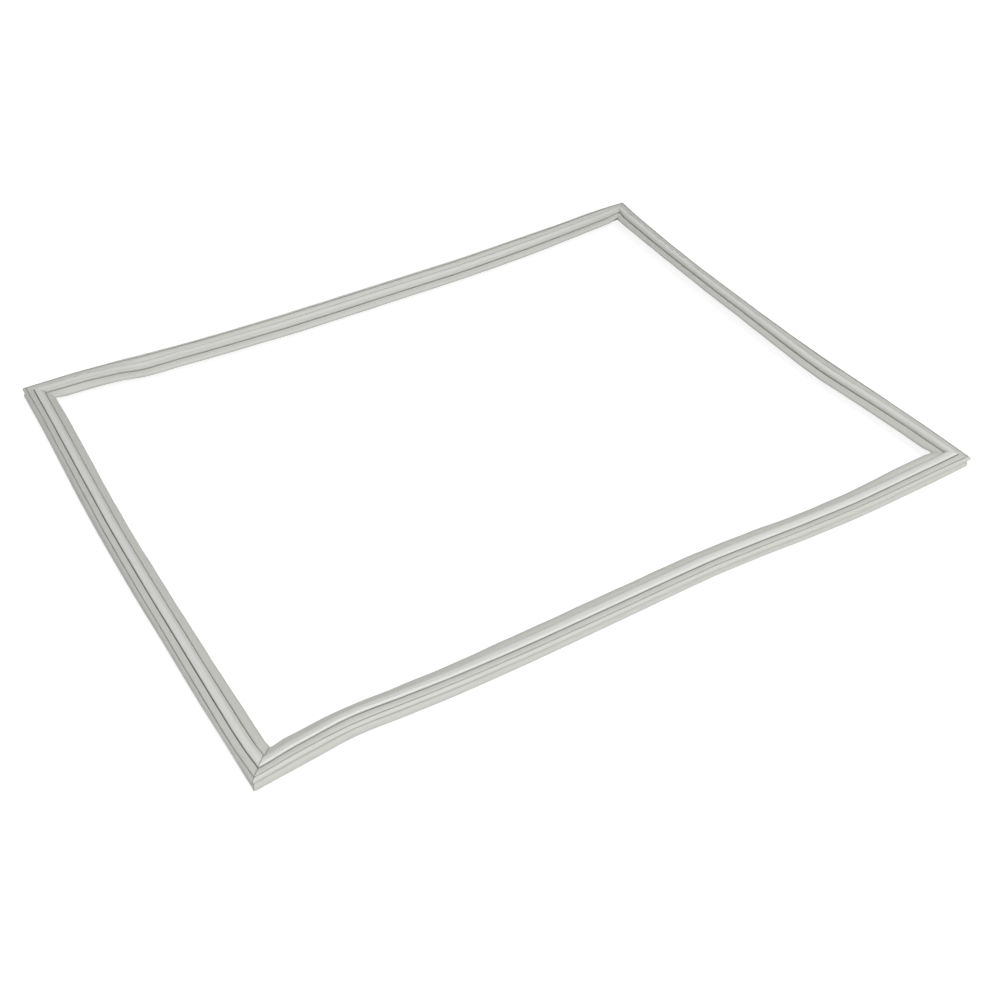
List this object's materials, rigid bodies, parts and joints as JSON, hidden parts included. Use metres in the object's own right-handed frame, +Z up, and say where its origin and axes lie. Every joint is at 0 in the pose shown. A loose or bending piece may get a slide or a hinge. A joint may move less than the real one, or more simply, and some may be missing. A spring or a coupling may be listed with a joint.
{
  "type": "refrigerator door gasket",
  "caption": "Soft rectangular seal for a cold cabinet door: folded hollow lip with a magnet pocket, an inner flap and a push-in dart, mitred at its corners.",
  "frame": {"origin": "under the middle of the frame's outer box, on the table that the seal lies on", "axes": "+X along the long sides, +Y along the short sides, +Z up from the dart towards the sealing face"},
  "size_m": [0.7314, 0.5716, 0.0196],
  "materials": {
    "gasket_vinyl": "soft light grey vinyl with a satin skin",
    "magnet_rubber": "dark brown ferrite-filled rubber, matt"
  },
  "bodies": {
    "root": {"gasket": "gasket_vinyl", "magnet_strip_near": "magnet_rubber", "magnet_strip_right": "magnet_rubber", "magnet_strip_far": "magnet_rubber", "magnet_strip_left": "magnet_rubber"}
  },
  "joints": []
}
